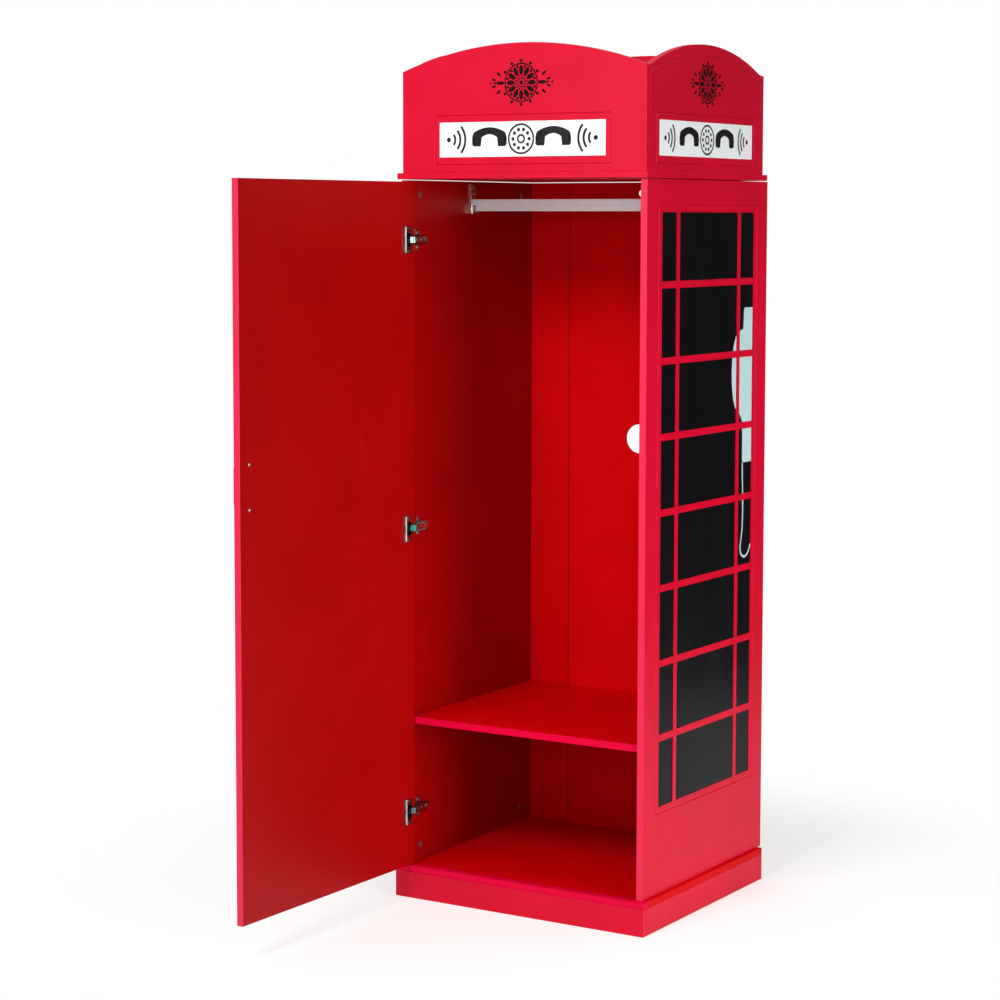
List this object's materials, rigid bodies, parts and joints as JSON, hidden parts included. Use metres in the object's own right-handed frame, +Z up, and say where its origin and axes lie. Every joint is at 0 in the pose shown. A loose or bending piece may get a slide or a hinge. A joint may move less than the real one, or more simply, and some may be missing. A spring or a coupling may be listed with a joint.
{
  "type": "wardrobe",
  "caption": "red telephone-box wardrobe with an arched crown, latticed side windows, a shelf, a hanging rail and one hinged door standing open",
  "frame": {"origin": "on the floor at the middle of the plinth, on the underside of its centre rail", "axes": "+Z up, -Y towards the front of the cabinet, +X to the right as seen from the front"},
  "size_m": [0.6647, 1.2168, 1.9542],
  "materials": {
    "red_lacquer": "satin",
    "red_metal": "satin",
    "black_pane": "gloss",
    "white_sign": "satin",
    "aluminium": "satin",
    "nickel_steel": "polished",
    "zinc": "satin"
  },
  "bodies": {
    "carcass": {"plinth_front": "red_lacquer", "plinth_back": "red_lacquer", "plinth_left": "red_lacquer", "plinth_right": "red_lacquer", "plinth_centre_rail": "red_lacquer", "base_board": "red_lacquer", "side_panel_left": "red_lacquer", "side_panel_right": "red_lacquer", "back_panel_left": "red_lacquer", "back_panel_centre": "red_lacquer", "back_panel_right": "red_lacquer", "shelf": "red_lacquer", "top_board": "red_lacquer", "crown_front": "red_lacquer", "crown_back": "red_lacquer", "crown_left": "red_lacquer", "crown_right": "red_lacquer", "glazing_bars_left": "red_lacquer", "glazing_bars_right": "red_lacquer", "window_sheet_left": "black_pane", "window_sheet_right": "black_pane", "sign_plate_front": "white_sign", "sign_plate_left": "white_sign", "sign_plate_right": "white_sign", "hanging_rail": "aluminium", "rail_socket_left": "nickel_steel", "rail_socket_right": "nickel_steel", "hinge_plate_lower": "nickel_steel", "hinge_arm_lower": "nickel_steel", "hinge_plate_middle": "nickel_steel", "hinge_arm_middle": "nickel_steel", "hinge_plate_upper": "nickel_steel", "hinge_arm_upper": "nickel_steel", "cam_left_lower_front": "zinc", "cam_left_lower_rear": "zinc", "cam_left_upper_front": "zinc", "cam_left_upper_rear": "zinc", "cam_right_lower_front": "zinc", "cam_right_lower_rear": "zinc", "cam_right_upper_front": "zinc", "cam_right_upper_rear": "zinc", "shelf_peg_left_front": "nickel_steel", "shelf_peg_left_rear": "nickel_steel", "shelf_peg_right_front": "nickel_steel", "shelf_peg_right_rear": "nickel_steel"},
    "hinge_links": {"hinge_link_lower": "nickel_steel", "hinge_link_middle": "nickel_steel", "hinge_link_upper": "nickel_steel"},
    "door": {"door_panel": "red_lacquer", "window_sheet_door": "black_pane", "glazing_bars_door": "red_lacquer", "door_handle": "red_metal", "handle_screw_lower": "nickel_steel", "handle_screw_upper": "nickel_steel", "hinge_cup_lower": "nickel_steel", "hinge_cup_middle": "nickel_steel", "hinge_cup_upper": "nickel_steel"}
  },
  "joints": [
    {"name": "link_swing", "type": "hinge", "parent": "carcass", "child": "hinge_links", "pos_m": [-0.29413, -0.27401, 0.862], "axis": [0, 0, 1], "range_deg": [-78.72, 2.6]},
    {"name": "door_turn", "type": "hinge", "parent": "hinge_links", "child": "door", "pos_m": [-0.28695, -0.28806, 0.862], "axis": [0, 0, 1], "range_deg": [-5.59, 169.72]}
  ],
  "couplings": [
    {"joint": "link_swing", "follows": "door_turn", "ratio": -0.46381}
  ]
}
